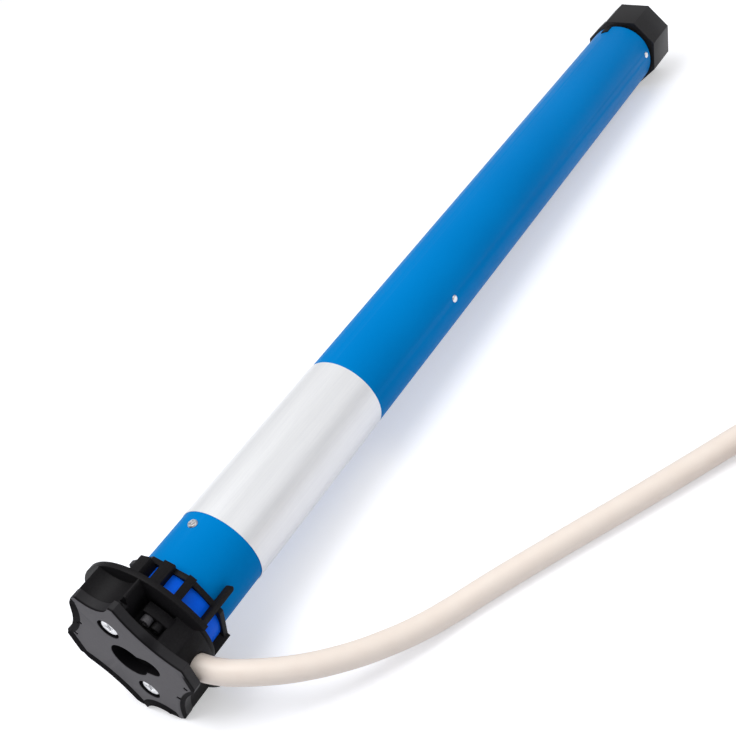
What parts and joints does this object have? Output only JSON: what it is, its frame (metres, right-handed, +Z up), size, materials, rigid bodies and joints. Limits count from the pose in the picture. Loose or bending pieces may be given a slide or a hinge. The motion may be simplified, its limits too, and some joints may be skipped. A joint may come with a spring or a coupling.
{
  "type": "tubular roller blind motor",
  "caption": "Tubular roller blind motor with a star-shaped head, idler crown, blue tube, octagonal drive wheel and a coiled supply cable.",
  "frame": {"origin": "centre of the mounting bore in the face of the star plate", "axes": "+X along the motor towards the drive wheel, +Z up, the cable leaves on the -Y side"},
  "size_m": [0.4513, 0.3425, 0.0591],
  "materials": {
    "grey_plastic": "moulded, fine matt grain",
    "black_plastic": "moulded, satin",
    "blue_paint": "smooth gloss paint on steel tube",
    "blue_plastic": "moulded, smooth",
    "silver_film": "satin silver film, blank",
    "zinc": "bright zinc plated",
    "steel": "turned",
    "bronze": "sintered bronze",
    "copper": "varnished copper wire",
    "lamination": "stacked sheet",
    "cast_aluminium": "die cast",
    "gear_plastic": "moulded",
    "ivory_plastic": "moulded",
    "yellow_plastic": "moulded",
    "switch_case": "moulded",
    "friction_lining": "pressed lining",
    "seal_rubber": "moulded",
    "cable_sheath": "extruded, satin",
    "tie_nylon": "moulded",
    "core_sheath": "extruded, one colour for each core"
  },
  "bodies": {
    "housing": {"head_plate": "grey_plastic", "head_housing": "black_plastic", "plate_screws": "zinc", "cable_seal": "seal_rubber", "bearing_sleeve": "blue_plastic", "motor_tube": "blue_paint", "label_film": "silver_film", "tube_screws": "zinc", "stator_rivets": "zinc", "cover_rivets": "zinc", "limit_frame": "black_plastic", "limit_switches": "switch_case", "run_capacitor": "cast_aluminium", "front_shield": "cast_aluminium", "front_bearing": "bronze", "stator_core": "lamination", "stator_windings": "copper", "rear_shield": "cast_aluminium", "rear_bearing": "bronze", "brake_pad": "friction_lining", "brake_pins": "steel", "brake_spring": "steel", "brake_cover": "cast_aluminium", "ring_gear": "gear_plastic", "gearbox_cover": "black_plastic", "output_bush": "bronze", "supply_cable": "cable_sheath", "cable_coil": "cable_sheath", "cable_tie": "tie_nylon", "cable_cores": "core_sheath", "core_ferrules": "zinc"},
    "crown": {"crown_ring": "black_plastic"},
    "limit_spindle_body": {"limit_spindle": "steel"},
    "nut_up": {"limit_nut_up": "ivory_plastic"},
    "nut_down": {"limit_nut_down": "yellow_plastic"},
    "adjuster_up": {"limit_adjuster_up": "black_plastic"},
    "adjuster_down": {"limit_adjuster_down": "grey_plastic"},
    "rotor": {"rotor_core": "lamination", "rotor_shaft": "steel", "brake_disc": "steel"},
    "armature": {"brake_armature": "steel"},
    "first_carrier": {"carrier_1": "steel"},
    "second_carrier": {"carrier_2": "steel"},
    "output": {"carrier_3": "steel", "output_shaft": "steel", "drive_wheel": "black_plastic", "wheel_washer": "zinc", "wheel_screw": "zinc"},
    "planet_body_1a": {"planet_1a": "steel"},
    "planet_body_1b": {"planet_1b": "steel"},
    "planet_body_1c": {"planet_1c": "steel"},
    "planet_body_2a": {"planet_2a": "steel"},
    "planet_body_2b": {"planet_2b": "steel"},
    "planet_body_2c": {"planet_2c": "steel"},
    "planet_body_3a": {"planet_3a": "steel"},
    "planet_body_3b": {"planet_3b": "steel"},
    "planet_body_3c": {"planet_3c": "steel"}
  },
  "joints": [
    {"name": "output_spin", "type": "hinge", "parent": "housing", "child": "output", "pos_m": [0.4, 0, 0], "axis": [1, 0, 0], "continuous": true},
    {"name": "second_carrier_spin", "type": "hinge", "parent": "housing", "child": "second_carrier", "pos_m": [0.34, 0, 0], "axis": [1, 0, 0], "continuous": true},
    {"name": "first_carrier_spin", "type": "hinge", "parent": "housing", "child": "first_carrier", "pos_m": [0.32, 0, 0], "axis": [1, 0, 0], "continuous": true},
    {"name": "rotor_spin", "type": "hinge", "parent": "housing", "child": "rotor", "pos_m": [0.22, 0, 0], "axis": [1, 0, 0], "continuous": true},
    {"name": "planet_1a_spin", "type": "hinge", "parent": "first_carrier", "child": "planet_body_1a", "pos_m": [0.307, 0.0081, 0], "axis": [1, 0, 0], "continuous": true},
    {"name": "planet_1b_spin", "type": "hinge", "parent": "first_carrier", "child": "planet_body_1b", "pos_m": [0.307, -0.00405, 0.00702], "axis": [1, 0, 0], "continuous": true},
    {"name": "planet_1c_spin", "type": "hinge", "parent": "first_carrier", "child": "planet_body_1c", "pos_m": [0.307, -0.00405, -0.00702], "axis": [1, 0, 0], "continuous": true},
    {"name": "planet_2a_spin", "type": "hinge", "parent": "second_carrier", "child": "planet_body_2a", "pos_m": [0.331, 0.0081, 0], "axis": [1, 0, 0], "continuous": true},
    {"name": "planet_2b_spin", "type": "hinge", "parent": "second_carrier", "child": "planet_body_2b", "pos_m": [0.331, -0.00405, 0.00702], "axis": [1, 0, 0], "continuous": true},
    {"name": "planet_2c_spin", "type": "hinge", "parent": "second_carrier", "child": "planet_body_2c", "pos_m": [0.331, -0.00405, -0.00702], "axis": [1, 0, 0], "continuous": true},
    {"name": "planet_3a_spin", "type": "hinge", "parent": "output", "child": "planet_body_3a", "pos_m": [0.362, 0.0081, 0], "axis": [1, 0, 0], "continuous": true},
    {"name": "planet_3b_spin", "type": "hinge", "parent": "output", "child": "planet_body_3b", "pos_m": [0.362, -0.00405, 0.00702], "axis": [1, 0, 0], "continuous": true},
    {"name": "planet_3c_spin", "type": "hinge", "parent": "output", "child": "planet_body_3c", "pos_m": [0.362, -0.00405, -0.00702], "axis": [1, 0, 0], "continuous": true},
    {"name": "crown_spin", "type": "hinge", "parent": "housing", "child": "crown", "pos_m": [0.02, 0, 0], "axis": [1, 0, 0], "range_deg": [-3330, 3330]},
    {"name": "limit_spindle_spin", "type": "hinge", "parent": "housing", "child": "limit_spindle_body", "pos_m": [0.06, 0.01128, -0.0041], "axis": [1, 0, 0], "range_deg": [-8880.5, 8880.5]},
    {"name": "nut_up_slide", "type": "slide", "parent": "housing", "child": "nut_up", "axis": [1, 0, 0], "range_m": [-0.01236, 0.01236]},
    {"name": "nut_down_slide", "type": "slide", "parent": "housing", "child": "nut_down", "axis": [1, 0, 0], "range_m": [-0.01236, 0.01236]},
    {"name": "adjuster_up_spin", "type": "hinge", "parent": "housing", "child": "adjuster_up", "pos_m": [0.0095, -0.01408, 0.01246], "axis": [1, 0, 0], "continuous": true},
    {"name": "adjuster_down_spin", "type": "hinge", "parent": "housing", "child": "adjuster_down", "pos_m": [0.0095, -0.01092, 0.0153], "axis": [1, 0, 0], "continuous": true},
    {"name": "armature_slide", "type": "slide", "parent": "housing", "child": "armature", "axis": [1, 0, 0], "range_m": [0, 0.0004], "stiffness_N_per_m": 200}
  ],
  "couplings": [
    {"joint": "second_carrier_spin", "follows": "output_spin", "ratio": 4.5},
    {"joint": "first_carrier_spin", "follows": "output_spin", "ratio": 20.25},
    {"joint": "rotor_spin", "follows": "output_spin", "ratio": 91.125},
    {"joint": "planet_1a_spin", "follows": "output_spin", "ratio": -56.7},
    {"joint": "planet_1b_spin", "follows": "output_spin", "ratio": -56.7},
    {"joint": "planet_1c_spin", "follows": "output_spin", "ratio": -56.7},
    {"joint": "planet_2a_spin", "follows": "output_spin", "ratio": -12.6},
    {"joint": "planet_2b_spin", "follows": "output_spin", "ratio": -12.6},
    {"joint": "planet_2c_spin", "follows": "output_spin", "ratio": -12.6},
    {"joint": "planet_3a_spin", "follows": "output_spin", "ratio": -2.8},
    {"joint": "planet_3b_spin", "follows": "output_spin", "ratio": -2.8},
    {"joint": "planet_3c_spin", "follows": "output_spin", "ratio": -2.8},
    {"joint": "limit_spindle_spin", "follows": "crown_spin", "ratio": 2.6667},
    {"joint": "nut_up_slide", "follows": "crown_spin", "m_per_rad": 0.00021221},
    {"joint": "nut_down_slide", "follows": "crown_spin", "m_per_rad": 0.00021221}
  ]
}
